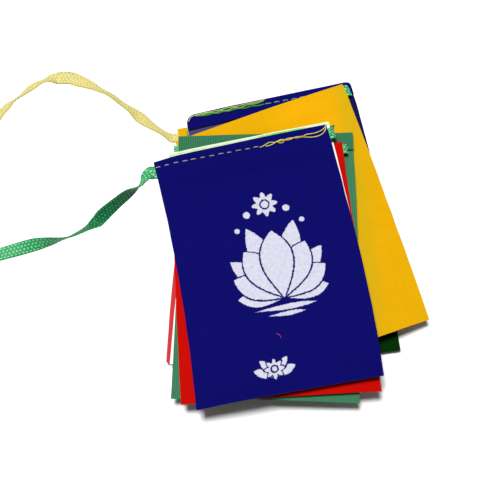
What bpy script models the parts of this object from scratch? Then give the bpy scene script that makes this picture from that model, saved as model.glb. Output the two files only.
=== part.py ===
"""A string of small prayer flags, folded back and forth into a loose stack that lies on a table.

Ten cloth flags hang from one narrow ribbon, which runs inside the hem of each. Folded up, each
flag lies on the next one, turned a little against it, and the ribbon shows as a short fold between
neighbours and as a free tail at each end of the string. The topmost flag is face up.

Frame: metres, +Z up, the floor at z = 0. The hems are at +Y, and the stack stands over the origin.
"""

import math

import bmesh
import bpy
from mathutils import Matrix, Vector

MM = 0.001

# The cloth, and how loosely the flags lie on each other.
CLOTH = 1.0 * MM
GAP = 0.36 * MM
LOOSE = 0.16 * MM
LOOSE_WAVE_X = 52 * MM
LOOSE_WAVE_Y = 68 * MM
LOOSE_TURN = 1.9

# The hem is the top edge, folded over the ribbon and sewn down.
HEM_DEPTH = 6.0 * MM
HEM_STEP = 0.9 * MM
HEM_RISE = 0.4 * MM
HEM_LIFT = 8.0 * MM
HEM_FADE = 17.0 * MM
FOLD_ROUND = 0.2 * MM

# How cloth comes down to the floor past the edge of what it lies on.
DROP = 34 * MM
EDGE_MARGIN = 2.0 * MM

# The mesh of a flag: cells across it, and the length of a row of cells below the hem.
CELLS_ACROSS = 11
ROW = 5.6 * MM

# The ribbon, woven flat.
RIBBON_WIDTH = 4.6 * MM
RIBBON_THICK = 1.0 * MM
RIBBON_INSET = 3.4 * MM
SEAT_GAP = 0.3 * MM
STRAIGHT = 0.9 * MM
LINK_STRAIGHT = 0.2 * MM
TUCK_HANDLE = 0.5 * MM
LINK_POINTS = 9
FLAT = 90
TAIL_POINTS = 38
FLOOR_GAP = 0.1 * MM

# The flags from the top of the stack down. Lengths are in millimetres and angles in degrees.
# left_x and left_y place the hem's left end, turn is the hem's angle, lean is the sides' angle,
# and sway is how far the sides bow to the right at half their length.
FLAG_COLUMNS = (
    "name", "left_x", "left_y", "turn", "hem_width", "foot_width", "lean", "left_side",
    "right_side", "sway", "colour",
)
FLAG_ROWS = (
    ("flag_01_blue", -45.9, 24.4, 12.6, 59.8, 60.5, 10.8, 85.1, 87.5, 1.6, "blue"),
    ("flag_02_white", -41.0, 27.5, 12.3, 55.7, 57.2, 9.7, 83.6, 84.0, 0.9, "white"),
    ("flag_03_red", -39.8, 27.2, 5.8, 58.1, 64.2, 5.1, 84.1, 86.4, -0.5, "red"),
    ("flag_04_green", -37.9, 35.2, 2.0, 59.9, 60.4, -0.4, 89.7, 93.5, 0.8, "green"),
    ("flag_05_yellow", -39.0, 34.2, 21.5, 62.4, 62.1, 17.5, 88.9, 89.0, 0.4, "yellow"),
    ("flag_06_blue", -35.9, 44.7, 14.3, 59.6, 60.2, 11.2, 87.8, 88.2, 0.5, "blue"),
    ("flag_07_white", -31.9, 44.0, -4.5, 53.9, 57.3, -3.9, 87.1, 86.0, -0.6, "white"),
    ("flag_08_red", -32.8, 43.4, -5.6, 56.4, 61.1, -3.8, 85.5, 85.4, -1.3, "red"),
    ("flag_09_dark_green", -33.1, 41.7, 11.5, 55.9, 59.5, 8.0, 87.5, 91.6, 0.6, "dark_green"),
    ("flag_10_yellow", -39.2, 43.4, 11.0, 61.0, 59.0, 9.2, 88.5, 89.0, 0.5, "yellow"),
)

# Where the ribbon folds over from one flag to the next. The side is 1 for the right end of the hems
# and 0 for the left. Toward is 0 where the fold runs from one hem's end to the next hem's end. It is
# -1 where the fold tucks down on to the face of the flag below, and 1 where it tucks up under the
# flag above, because the ribbon slips in beside that flag's hem. Reach is how far the fold stands
# out, arch how much it rises, width how wide the ribbon lies there and inset how far its middle is
# from the hem's top edge, in millimetres.
LINK_COLUMNS = ("name", "upper", "side", "toward", "reach", "arch", "width", "inset", "colour")
LINK_ROWS = (
    ("ribbon_fold_01_02", 0, 1, 0, 1.1, 0.0, 4.0, 3.2, "mint"),
    ("ribbon_fold_02_03", 1, 0, 0, 1.1, 0.0, 4.6, 3.4, "mint"),
    ("ribbon_fold_03_04", 2, 1, -1, 1.1, 0.0, 3.8, 2.3, "mint"),
    ("ribbon_fold_04_05", 3, 0, -1, 1.0, 0.0, 2.2, 4.1, "mint"),
    ("ribbon_fold_05_06", 4, 1, -1, 1.3, 0.0, 4.6, 2.7, "mint"),
    ("ribbon_fold_06_07", 5, 0, 1, 1.2, 0.0, 4.6, 3.4, "lime"),
    ("ribbon_fold_07_08", 6, 1, 0, 1.0, 0.0, 4.6, 3.4, "lime"),
    ("ribbon_fold_08_09", 7, 0, 0, 1.2, 0.3, 4.6, 3.4, "lime"),
    ("ribbon_fold_09_10", 8, 1, 0, 1.2, 0.3, 4.6, 3.4, "lime"),
)

# The free tails: the points on the floor plan that each one follows after the hem, in millimetres,
# with rise, the height of its lower edge over the floor, and twist, the angle in degrees by which
# the ribbon is turned about its own length. It is flat at 0 and at each half turn. The yellow tail
# leaves its hem already turned.
GREEN_START = 0
YELLOW_START = -24
ROUTE_COLUMNS = ("x", "y", "rise", "twist")
GREEN_TAIL = (
    (-48.8, 18.2, 13.2, -40),
    (-50.7, 16.2, 11.5, -62),
    (-54.4, 14.5, 9.0, -105),
    (-59.1, 12.1, 5.6, -122),
    (-63.7, 9.1, 3.2, -155),
    (-68.5, 5.4, 1.3, -222),
    (-74.1, 2.5, 0.3, -242),
    (-78.0, 1.3, 0.0, -262),
    (-81.1, 0.6, 0.0, -285),
    (-84.9, -0.1, 0.0, -308),
    (-88.1, -0.7, 0.0, -330),
    (-93.4, -2.1, 0.0, -350),
    (-98.4, -3.5, 0.0, -360),
    (-104.3, -5.6, 0.0, -362),
    (-110.3, -8.6, 0.0, -362),
    (-116.3, -11.4, 0.0, -360),
)
YELLOW_TAIL = (
    (-43.3, 41.1, 0.0, -42),
    (-45.1, 42.2, 0.0, -40),
    (-46.9, 43.4, 0.0, -33),
    (-48.7, 44.7, 0.0, -28),
    (-50.5, 46.2, 0.0, -21),
    (-52.4, 47.9, 0.0, -17),
    (-54.2, 49.5, 0.0, -25),
    (-56.0, 50.9, 0.0, -35),
    (-59.7, 53.6, 0.0, -45),
    (-63.4, 56.6, 0.0, -47),
    (-67.1, 58.5, 0.0, -46),
    (-71.0, 60.8, 0.0, -24),
    (-76.7, 63.5, 0.0, 6),
    (-80.7, 64.0, 0.0, 12),
    (-83.6, 63.7, 0.0, -4),
    (-87.2, 62.4, 0.0, -46),
    (-91.4, 60.0, 0.0, -34),
    (-94.8, 56.6, 0.0, -50),
    (-97.2, 54.6, 0.0, -56),
    (-99.7, 52.4, 0.0, -36),
    (-102.2, 49.3, 0.0, -31),
    (-106.3, 43.3, 0.0, -20),
    (-111.8, 37.4, 0.0, -8),
    (-117.8, 33.4, 0.0, 0),
)

# Base colours as linear RGB, with the roughness of each.
COLOURS = {
    "blue": ((0.005, 0.004, 0.15), 0.85),
    "white": ((0.86, 0.85, 0.78), 0.85),
    "red": ((0.60, 0.008, 0.004), 0.85),
    "green": ((0.05, 0.26, 0.11), 0.85),
    "yellow": ((0.85, 0.42, 0.006), 0.85),
    "dark_green": ((0.002, 0.03, 0.005), 0.85),
    "mint": ((0.22, 0.68, 0.30), 0.45),
    "lime": ((0.55, 0.66, 0.18), 0.45),
    "gold": ((0.72, 0.62, 0.16), 0.45),
}


def rows_as_records(columns, rows):
    return [dict(zip(columns, row)) for row in rows]


def along(angle):
    """The unit direction on the floor that is turned by angle degrees from +X."""
    return Vector((math.cos(math.radians(angle)), math.sin(math.radians(angle)), 0))


def down(angle):
    """The unit direction on the floor that is turned by angle degrees from -Y."""
    return Vector((math.sin(math.radians(angle)), -math.cos(math.radians(angle)), 0))


def spot(flag, across, share):
    """A flag's point on the floor plan: across from 0, left, to 1, and share from 0, hem, to 1."""
    hem = Vector((flag["left_x"], flag["left_y"], 0))
    width = flag["hem_width"] + share * (flag["foot_width"] - flag["hem_width"])
    side = flag["left_side"] + across * (flag["right_side"] - flag["left_side"])
    flare = (flag["hem_width"] - flag["foot_width"]) / 2 * share
    sway = flag["sway"] * 4 * share * (1 - share)
    place = hem + along(flag["turn"]) * (across * width + flare + sway)
    return (place + down(flag["lean"]) * side * share) * MM


def outline(flag):
    return [spot(flag, *corner) for corner in ((0, 0), (0, 1), (1, 1), (1, 0))]


def distance_outside(place, corners):
    """How far a place is outside a flag's outline on the floor plan, and 0 inside it."""
    nearest = math.inf
    inside = True
    for start, end in zip(corners, corners[1:] + corners[:1]):
        edge = end - start
        away = place - start
        if edge.x * away.y - edge.y * away.x < 0:
            inside = False
        share = min(1, max(0, away.dot(edge) / edge.dot(edge)))
        nearest = min(nearest, (away - edge * share).length)
    return 0 if inside else nearest


def fade(distance, reach):
    """1 at no distance, falling smoothly to 0 at reach."""
    share = min(1, max(0, distance / reach))
    return (1 + math.cos(math.pi * share)) / 2


def looseness(number, place):
    """The extra air between two flags, which changes slowly from place to place."""
    turn = number * LOOSE_TURN
    wave = math.sin(2 * math.pi * place.x / LOOSE_WAVE_X + turn)
    wave += math.sin(2 * math.pi * place.y / LOOSE_WAVE_Y - turn)
    return LOOSE * (0.5 + wave / 4)


def lift(flag, number, place):
    """How much one flag raises the flags above it at a place on the floor plan."""
    away = distance_outside(place, flag["outline"]) - EDGE_MARGIN
    below_hem = (place - flag["outline"][0]).dot(down(flag["turn"])) - HEM_LIFT
    hem = HEM_RISE * fade(below_hem, HEM_FADE)
    return (CLOTH + GAP + hem + looseness(number, place)) * fade(away, DROP)


def underside(flags, number, place):
    """The height of a flag's underside: all that the flags below it add up to there."""
    return sum(lift(flags[i], i, place) for i in range(number + 1, len(flags)))


def hem_middle(flags, number, side, inset=RIBBON_INSET):
    """The middle of a hem's end, where the ribbon comes out, and the direction that it takes."""
    flag = flags[number]
    share = inset / MM / flag["left_side"]
    out = along(flag["turn"]) * (2 * side - 1)
    place = spot(flag, side, share) + out * SEAT_GAP
    place.z = underside(flags, number, place) + (CLOTH + HEM_RISE) / 2
    return place, out


def material(name, colour, roughness):
    made = bpy.data.materials.new(name)
    made.use_nodes = True
    shader = made.node_tree.nodes["Principled BSDF"]
    shader.inputs["Base Color"].default_value = (*colour, 1)
    shader.inputs["Roughness"].default_value = roughness
    shader.inputs["Metallic"].default_value = 0
    return made


def flag_rows(flag):
    """How far each row of a flag's mesh is from the hem's fold, the rows of the hem first."""
    length = flag["right_side"] * MM
    rows = [0, HEM_STEP, HEM_DEPTH, HEM_DEPTH + HEM_STEP]
    left = length - rows[-1]
    count = round(left / ROW)
    rows += [rows[-1] + left * (i + 1) / count for i in range(count)]
    return [row / length for row in rows]


def build_flag(flags, number, collection):
    """One flag: a sheet that lies on the flags below it, with a thicker hem along its top edge."""
    flag = flags[number]
    rows = flag_rows(flag)
    mesh = bmesh.new()
    row_of = mesh.verts.layers.int.new("row")
    bmesh.ops.create_grid(mesh, x_segments=CELLS_ACROSS, y_segments=len(rows) - 1, size=0.5)
    for point in mesh.verts:
        across = point.co.x + 0.5
        row = round((0.5 - point.co.y) * (len(rows) - 1))
        point[row_of] = row
        place = spot(flag, across, rows[row])
        place.z = underside(flags, number, place)
        point.co = place
    upper = bmesh.ops.extrude_face_region(mesh, geom=mesh.faces[:])["geom"]
    for point in upper:
        if isinstance(point, bmesh.types.BMVert):
            hem = HEM_RISE if point[row_of] in (1, 2) else 0
            point.co.z += CLOTH + hem
            if point[row_of] == 0:
                point.co.z -= FOLD_ROUND
    bmesh.ops.recalc_face_normals(mesh, faces=mesh.faces[:])
    data = bpy.data.meshes.new(flag["name"])
    mesh.to_mesh(data)
    mesh.free()
    made = bpy.data.objects.new(flag["name"], data)
    collection.objects.link(made)
    return made


def build_ribbon(name, points, twists, axes, collection, width=RIBBON_WIDTH):
    """A flat ribbon with filled ends along points. Its width lies along the axes' third column."""
    start = points[0]
    data = bpy.data.curves.new(name, "CURVE")
    data.dimensions = "3D"
    data.twist_mode = "Z_UP"
    data.bevel_depth = RIBBON_THICK / 2
    data.bevel_resolution = 2
    data.extrude = (width - RIBBON_THICK) / 2
    data.use_fill_caps = True
    spline = data.splines.new("POLY")
    spline.points.add(len(points) - 1)
    back = axes.transposed()
    for point, place, twist in zip(spline.points, points, twists):
        point.co = (*(back @ (place - start)), 1)
        point.tilt = math.radians(twist)
    made = bpy.data.objects.new(name, data)
    made.matrix_world = Matrix.Translation(start) @ axes.to_4x4()
    collection.objects.link(made)
    return made


def neighbour_height(flags, link, place, out):
    """The height of the face that a tucked fold meets, where it is nearest to the fold's end."""
    sideways = Vector((-out.y, out.x, 0)) * link["width"] / 2 * MM
    heights = []
    for part in (-1, 0, 1):
        at = Vector((place.x, place.y, 0)) + sideways * part
        if link["toward"] > 0:
            heights.append(-underside(flags, link["upper"], at))
        else:
            heights.append(underside(flags, link["upper"] + 1, at) + CLOTH + HEM_RISE)
    return max(heights) * -link["toward"]


def link_handles(flags, link):
    """The four points that steer a fold's curve, and the direction in which it stands out."""
    inset = link["inset"] * MM
    reach = link["reach"] * MM
    tucked_up = 1 if link["toward"] > 0 else 0
    start, out = hem_middle(flags, link["upper"] + tucked_up, link["side"], inset)
    leaving = start + out * LINK_STRAIGHT
    if link["toward"]:
        tip = leaving + out * reach
        clear = SEAT_GAP + RIBBON_THICK * math.sqrt(0.5) / 2
        tip.z = neighbour_height(flags, link, tip, out) - link["toward"] * clear
        slope = (out + Vector((0, 0, link["toward"]))).normalized()
        return start, (leaving, leaving + out * TUCK_HANDLE, tip - slope * TUCK_HANDLE, tip), out
    end, other_out = hem_middle(flags, link["upper"] + 1, link["side"], inset)
    arriving = end + other_out * LINK_STRAIGHT
    handles = (leaving, leaving + out * reach * 4 / 3, arriving + other_out * reach * 4 / 3, arriving)
    return start, handles, (out + other_out).normalized()


def build_link(flags, link, collection):
    """The short fold of ribbon that goes over from one flag's hem to the next one."""
    start, handles, outward = link_handles(flags, link)
    points = [start]
    for i in range(LINK_POINTS):
        t = i / (LINK_POINTS - 1)
        weights = ((1 - t) ** 3, 3 * t * (1 - t) ** 2, 3 * t**2 * (1 - t), t**3)
        place = sum((h * w for h, w in zip(handles, weights)), Vector())
        place.z += link["arch"] * MM * 4 * t * (1 - t)
        points.append(place)
    if not link["toward"]:
        points.append(hem_middle(flags, link["upper"] + 1, link["side"], link["inset"] * MM)[0])
    upward = Vector((0, 0, 1))
    axes = Matrix((outward, upward, outward.cross(upward))).transposed()
    twists = [0] * len(points)
    return build_ribbon(link["name"], points, twists, axes, collection, link["width"] * MM)


def smooth(route, share):
    """A share of the way along a smooth curve through a route's rows, apart from its two end rows.

    The end rows only set the direction in which the curve starts and ends.
    """
    place = 1 + share * (len(route) - 3)
    i = min(len(route) - 3, int(place))
    t = place - i
    weights = (
        (-t + 2 * t**2 - t**3) / 2,
        (2 - 5 * t**2 + 3 * t**3) / 2,
        (t + 4 * t**2 - 3 * t**3) / 2,
        (-(t**2) + t**3) / 2,
    )
    near = route[i - 1 : i + 3]
    return [sum(w * row[k] for w, row in zip(weights, near)) for k in range(len(ROUTE_COLUMNS))]


def edge_height(twist):
    """How high the ribbon's middle is over its lower edge when it is turned by twist degrees."""
    return (RIBBON_WIDTH - RIBBON_THICK) / 2 * abs(math.sin(math.radians(twist))) + RIBBON_THICK / 2


def build_tail(flags, number, name, rows, start_twist, collection):
    """A free tail of ribbon: out of the hem's left end, down to the floor and along it."""
    start, out = hem_middle(flags, number, 0)
    rise = (start.z - edge_height(0) - FLOOR_GAP) / MM
    route = []
    for steps in (-1, 0, 1, 2):
        place = (start + out * STRAIGHT * steps) / MM
        route.append((place.x, place.y, rise, start_twist))
    route += [*rows, rows[-1]]
    points = []
    twists = []
    for i in range(TAIL_POINTS):
        x, y, rise, twist = smooth(route, i / (TAIL_POINTS - 1))
        height = max(0, rise * MM) + FLOOR_GAP + edge_height(twist)
        points.append(Vector((x * MM, y * MM, height)))
        twists.append(FLAT + twist)
    return build_ribbon(name, points, twists, Matrix.Identity(3), collection)


def build_string():
    for leftover in list(bpy.data.objects):
        bpy.data.objects.remove(leftover, do_unlink=True)
    collection = bpy.data.collections.new("prayer_flag_string")
    bpy.context.scene.collection.children.link(collection)
    finishes = {name: material(name, *finish) for name, finish in COLOURS.items()}
    flags = rows_as_records(FLAG_COLUMNS, FLAG_ROWS)
    for flag in flags:
        flag["outline"] = outline(flag)
    made = []
    for number, flag in enumerate(flags):
        made.append((build_flag(flags, number, collection), flag["colour"]))
    for link in rows_as_records(LINK_COLUMNS, LINK_ROWS):
        made.append((build_link(flags, link, collection), link["colour"]))
    last = len(flags) - 1
    green_tail = build_tail(flags, 0, "ribbon_tail_green", GREEN_TAIL, GREEN_START, collection)
    yellow_tail = build_tail(
        flags, last, "ribbon_tail_yellow", YELLOW_TAIL, YELLOW_START, collection
    )
    made.append((green_tail, "mint"))
    made.append((yellow_tail, "gold"))
    for piece, colour in made:
        piece.data.materials.append(finishes[colour])


build_string()
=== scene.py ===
"""A string of small prayer flags, folded back and forth into a loose stack on a pale table.

Ten woven cotton flags hang from one narrow braided ribbon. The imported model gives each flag's
place and droop. This script lays a thin sheet with a folded and hand sewn hem on each of them, and
adds the ribbon, its folds and its two free tails, the stitching and the print.
"""

import math

import bpy
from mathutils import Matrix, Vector, noise
from mathutils.bvhtree import BVHTree


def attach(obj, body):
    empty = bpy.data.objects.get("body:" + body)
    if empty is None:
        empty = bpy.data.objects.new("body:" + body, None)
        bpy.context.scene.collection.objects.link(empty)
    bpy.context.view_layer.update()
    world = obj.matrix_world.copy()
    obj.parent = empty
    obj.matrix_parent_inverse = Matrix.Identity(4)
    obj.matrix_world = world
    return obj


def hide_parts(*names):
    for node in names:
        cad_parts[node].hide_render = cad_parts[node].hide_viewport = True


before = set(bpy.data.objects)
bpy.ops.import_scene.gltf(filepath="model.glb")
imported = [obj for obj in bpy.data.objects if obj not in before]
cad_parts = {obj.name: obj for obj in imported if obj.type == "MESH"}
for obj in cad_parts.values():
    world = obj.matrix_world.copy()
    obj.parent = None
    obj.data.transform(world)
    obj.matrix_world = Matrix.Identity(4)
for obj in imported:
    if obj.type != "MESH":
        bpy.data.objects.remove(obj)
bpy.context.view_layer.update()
bpy.ops.object.select_all(action="DESELECT")
MM = 0.001


# The flags' places. Each row is one flag from the top of the stack down, with the values that the
# model is built from: lengths in millimetres and angles in degrees. Facing is 1 where the flag's
# printed face is up, and -1 where the string has folded over and its back is up. Hem_turn is how
# much of the cloth is turned back.
FLAG_COLUMNS = (
    "name", "left_x", "left_y", "turn", "hem_width", "foot_width", "lean", "left_side",
    "right_side", "sway", "facing", "hem_turn",
)
FLAG_ROWS = (
    ("flag_01_blue", -45.9, 24.4, 12.6, 59.8, 60.5, 10.8, 85.1, 87.5, 1.6, 1, 5.6),
    ("flag_02_white", -41.0, 27.5, 12.3, 55.7, 57.2, 9.7, 83.6, 84.0, 0.9, -1, 4.9),
    ("flag_03_red", -39.8, 27.2, 5.8, 58.1, 64.2, 5.1, 84.1, 86.4, -0.5, 1, 5.2),
    ("flag_04_green", -37.9, 35.2, 2.0, 59.9, 60.4, -0.4, 89.7, 93.5, 0.8, -1, 5.6),
    ("flag_05_yellow", -39.0, 34.2, 21.5, 62.4, 62.1, 17.5, 88.9, 89.0, 0.4, 1, 4.9),
    ("flag_06_blue", -35.9, 44.7, 14.3, 59.6, 60.2, 11.2, 87.8, 88.2, 0.5, -1, 5.0),
    ("flag_07_white", -31.9, 44.0, -4.5, 53.9, 57.3, -3.9, 87.1, 86.0, -0.6, 1, 4.9),
    ("flag_08_red", -32.8, 43.4, -5.6, 56.4, 61.1, -3.8, 85.5, 85.4, -1.3, -1, 4.9),
    ("flag_09_dark_green", -33.1, 41.7, 11.5, 55.9, 59.5, 8.0, 87.5, 91.6, 0.6, 1, 4.9),
    ("flag_10_yellow", -39.2, 43.4, 11.0, 61.0, 59.0, 9.2, 88.5, 89.0, 0.5, -1, 4.9),
)
flags = [dict(zip(FLAG_COLUMNS, row)) for row in FLAG_ROWS]


def along(angle):
    """The unit direction on the table that is turned by angle degrees from +X."""
    return Vector((math.cos(math.radians(angle)), math.sin(math.radians(angle)), 0))


def down(angle):
    """The unit direction on the table that is turned by angle degrees from -Y."""
    return Vector((math.sin(math.radians(angle)), -math.cos(math.radians(angle)), 0))


def spot(flag, across, share):
    """A flag's point on the floor plan: across from 0, left, to 1, and share from 0, hem, to 1."""
    hem = Vector((flag["left_x"], flag["left_y"], 0))
    width = flag["hem_width"] + share * (flag["foot_width"] - flag["hem_width"])
    side = flag["left_side"] + across * (flag["right_side"] - flag["left_side"])
    flare = (flag["hem_width"] - flag["foot_width"]) / 2 * share
    sway = flag["sway"] * 4 * share * (1 - share)
    place = hem + along(flag["turn"]) * (across * width + flare + sway)
    return (place + down(flag["lean"]) * side * share) * MM


def mesh_tree(piece):
    """A mesh piece as it stands, ready to be asked for its height at a place."""
    points = [v.co for v in piece.data.vertices]
    return BVHTree.FromPolygons(points, [p.vertices for p in piece.data.polygons])


def height_at(tree, place, upper=True):
    """The height of a piece's upper side at a place on the floor plan, or of its lower side."""
    start = Vector((place.x, place.y, 0.1 if upper else -0.1))
    hit = tree.ray_cast(start, Vector((0, 0, -1 if upper else 1)))[0]
    return (hit or tree.find_nearest(start)[0]).z


# The woven sheets. Each flag is one rectangle of plain woven cotton about half a millimetre thick.
# Its top edge is turned back over the ribbon, which makes the hem. It lies where its solid lies,
# with its own slight waves, so the edges in the stack are nowhere quite parallel.
CLOTH = 0.5 * MM
HEM_THICK = 1.4 * MM
HEM_FOLD = (HEM_THICK - CLOTH) / 2
BODY_HEIGHT = 0.5 * MM
HEM_END = 1.0 * MM
HEM_FADE = 5 * MM
HEM_ROWS = 7
BEND_ROWS = 6
# The sheet follows its solid's underside, averaged over these shares of its width and length.
SMOOTH_ACROSS = 0.04
SMOOTH_DOWN = 0.03
RIM = 0.005
# Its slight waves, livelier at its edges, and the unevenness of the cut side edges.
WAVE = 0.12 * MM
EDGE_WAVE = 0.16 * MM
WAVE_LENGTH = 22 * MM
FRAY = 0.12 * MM
FRAY_LENGTH = 6 * MM
# The lowest sheet presses flatter on the table.
LOWEST_SINK = 0.22 * MM
LOWEST_CLEAR = 0.02 * MM

# Soft creases, placed one by one. A crease runs from one place on the flag to another, in shares of
# its width and length, and lifts or sinks the cloth by its height over its half width.
CREASE_COLUMNS = ("flag", "x0", "y0", "x1", "y1", "height", "reach")
CREASE_ROWS = (
    (0, 0.05, 0.30, 0.95, 0.22, 0.10, 5.0),
    (0, 0.10, 0.86, 0.90, 0.74, -0.10, 6.0),
    (0, 0.62, 0.10, 0.70, 0.95, 0.09, 7.0),
    (0, 0.00, 0.05, 0.05, 0.60, 0.16, 3.0),
    (2, 0.97, 0.08, 1.00, 0.60, 0.30, 2.5),
    (3, 1.00, 0.14, 1.00, 0.70, 0.60, 2.6),
    (3, 0.90, 0.00, 0.92, 0.60, -0.12, 2.0),
    (4, 0.60, 0.10, 0.70, 1.00, 0.30, 3.5),
    (4, 0.76, 0.12, 0.84, 0.70, -0.22, 4.0),
    (4, 0.72, 0.80, 1.00, 0.76, -0.12, 3.0),
    (5, 0.00, 0.08, 1.00, 0.10, 0.12, 2.5),
    (6, 0.03, 0.30, 0.10, 0.95, 0.14, 3.0),
    (7, 0.00, 0.60, 0.20, 0.95, 0.14, 4.0),
)
creases = [dict(zip(CREASE_COLUMNS, row)) for row in CREASE_ROWS]


def crease_rise(number, across, share, flag):
    """How much the listed creases lift a flag at one of its points."""
    rise = 0
    for crease in creases:
        if crease["flag"] != number:
            continue
        size = Vector((flag["hem_width"], flag["left_side"]))
        start = Vector((crease["x0"] * size.x, crease["y0"] * size.y))
        line = Vector((crease["x1"] * size.x, crease["y1"] * size.y)) - start
        away = Vector((across * size.x, share * size.y)) - start
        part = min(1, max(0, away.dot(line) / line.dot(line)))
        distance = (away - line * part).length / crease["reach"]
        rise += crease["height"] * MM * math.exp(-distance * distance)
    return rise


def hem_profile(cloth, hem_turn, facing):
    """Where a point of the cloth lies, by its distance along the cloth from the raw edge of the hem.

    It gives how far the point is from the fold, and its height over the middle of the hem.
    """
    bend = math.pi * HEM_FOLD
    if cloth < hem_turn:
        return hem_turn - cloth + HEM_FOLD, -HEM_FOLD * facing
    if cloth < hem_turn + bend:
        turn = (cloth - hem_turn) / HEM_FOLD
        return HEM_FOLD * (1 - math.sin(turn)), -math.cos(turn) * HEM_FOLD * facing
    return HEM_FOLD + cloth - hem_turn - bend, HEM_FOLD * facing


def cloth_rows(length, hem_turn, body_rows):
    """Where the rows of a sheet's mesh lie along its cloth, close together in the hem's fold."""
    bend = math.pi * HEM_FOLD
    rows = [hem_turn * i / HEM_ROWS for i in range(HEM_ROWS)]
    rows += [hem_turn + bend * i / BEND_ROWS for i in range(BEND_ROWS + 1)]
    left = length - HEM_FOLD
    return rows + [hem_turn + bend + left * (i + 1) / body_rows for i in range(body_rows)]


# The sixth flag's hem corners are worn round, by these distances in millimetres at its two ends.
WORN_FLAG = 5
WORN_CORNERS = (3.4, 1.8)


def worn_corner(number, across, from_fold, flag):
    """A point's distances along and down a worn hem, drawn in from the square corner."""
    if number != WORN_FLAG:
        return across, from_fold
    width = flag["hem_width"] * MM
    end = 0 if across < 0.5 else 1
    round_by = WORN_CORNERS[end] * MM
    side = 1 - abs(across - end) * width / round_by
    upward = 1 - from_fold / round_by
    if side <= 0 or upward <= 0:
        return across, from_fold
    shrink = max(side, upward) / math.hypot(side, upward)
    moved = (1 - side * shrink) * round_by / width
    return abs(end - moved), (1 - upward * shrink) * round_by


def lay_sheet(number, columns, body_rows):
    """Lay one flag's cloth on its solid, with its hem turned back, and give it its thickness."""
    flag = flags[number]
    tree = mesh_tree(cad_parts[flag["name"]])
    length = (flag["left_side"] + flag["right_side"]) / 2 * MM
    hem_turn = flag["hem_turn"] * MM
    rows = cloth_rows(length, hem_turn, body_rows)
    bpy.ops.mesh.primitive_grid_add(
        x_subdivisions=columns, y_subdivisions=len(rows) - 1, size=1, calc_uvs=True
    )
    sheet = bpy.context.object
    sheet.name = flag["name"].replace("flag", "cloth")
    places = []
    for point in sheet.data.vertices:
        across = point.co.x + 0.5
        cloth = rows[round((0.5 - point.co.y) * (len(rows) - 1))]
        from_fold, over = hem_profile(cloth, hem_turn, flag["facing"])
        flat_across = across
        across, from_fold = worn_corner(number, across, from_fold, flag)
        share = from_fold / length
        low = 0
        for a, s in ((0, 0), (-1, 0), (1, 0), (0, -1), (0, 1)):
            a = min(1 - RIM, max(RIM, across + a * SMOOTH_ACROSS))
            s = min(1 - RIM, max(RIM, share + s * SMOOTH_DOWN))
            low += height_at(tree, spot(flag, a, s), upper=False) / 5
        edge = max(abs(across - 0.5), abs(share - 0.5)) * 2
        at = spot(flag, across, share)
        seed = Vector((at.x / WAVE_LENGTH, at.y / WAVE_LENGTH, number * 3.7))
        wave = (noise.noise(seed) + 0.4 * noise.noise(seed * 2.7)) * (WAVE + EDGE_WAVE * edge**6)
        wave += crease_rise(number, across, share, flag)
        past_hem = min(1, max(0, (from_fold - hem_turn - HEM_END) / HEM_FADE))
        past_hem = past_hem * past_hem * (3 - 2 * past_hem)
        middle = (HEM_THICK / 2 + over) * (1 - past_hem) + BODY_HEIGHT * past_hem
        if flat_across in (0, 1):
            seed = Vector((at.x / FRAY_LENGTH, at.y / FRAY_LENGTH, number + 0.5))
            at += along(flag["turn"]) * noise.noise(seed) * FRAY
        if number == len(flags) - 1:
            wave = abs(wave) * 0.5
            middle = max(middle - LOWEST_SINK, CLOTH / 2 + LOWEST_CLEAR)
        at.z = low + middle + wave
        point.co = at
        along_cloth = cloth - hem_turn - math.pi / 2 * HEM_FOLD
        places.append((flat_across * flag["hem_width"], along_cloth / MM))
    layer = sheet.data.uv_layers.active
    layer.name = "cloth"
    for loop, uv in zip(sheet.data.loops, layer.data):
        uv.uv = places[loop.vertex_index]
    if flag["facing"] < 0:
        sheet.data.flip_normals()
    bpy.ops.object.modifier_add(type="SOLIDIFY")
    thick = sheet.modifiers[-1]
    thick.thickness = CLOTH
    thick.offset = 0
    thick.material_offset = 1
    thick.material_offset_rim = 1
    return sheet, length


def put(tree, kind, *values, **settings):
    """Add a shader node, with its settings, and fill its inputs in order from values or links."""
    node = tree.nodes.new("ShaderNode" + kind)
    for name, value in settings.items():
        setattr(node, name, value)
    for socket, value in zip(node.inputs, values):
        if isinstance(value, bpy.types.NodeSocket):
            tree.links.new(value, socket)
        elif value is not None:
            socket.default_value = value
    return node


def new_material(name, specular, roughness=0.5):
    """A material, with its node tree and its Principled shader."""
    made = bpy.data.materials.new(name)
    made.use_nodes = True
    shader = made.node_tree.nodes["Principled BSDF"]
    shader.inputs["Specular IOR Level"].default_value = specular
    shader.inputs["Roughness"].default_value = roughness
    return made, made.node_tree, shader


def sum_of(tree, operation, *values):
    """The result of a Math node."""
    return put(tree, "Math", *values, operation=operation).outputs[0]


def blend_of(tree, share, low, high, mode="MIX"):
    """The colour of a Mix node."""
    node = put(tree, "Mix", data_type="RGBA", blend_type=mode)
    for socket, value in ((node.inputs[0], share), (node.inputs[6], low), (node.inputs[7], high)):
        if isinstance(value, bpy.types.NodeSocket):
            tree.links.new(value, socket)
        else:
            socket.default_value = value
    return node.outputs[2]


def new_group(name, inputs, outputs):
    """A shader node group with named sockets, with its input and output nodes."""
    group = bpy.data.node_groups.new(name, "ShaderNodeTree")
    for socket, kind, value in inputs:
        made = group.interface.new_socket(socket, in_out="INPUT", socket_type="NodeSocket" + kind)
        if value is not None:
            made.default_value = value
    for socket, kind in outputs:
        group.interface.new_socket(socket, in_out="OUTPUT", socket_type="NodeSocket" + kind)
    return group, group.nodes.new("NodeGroupInput").outputs, group.nodes.new("NodeGroupOutput")


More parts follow.
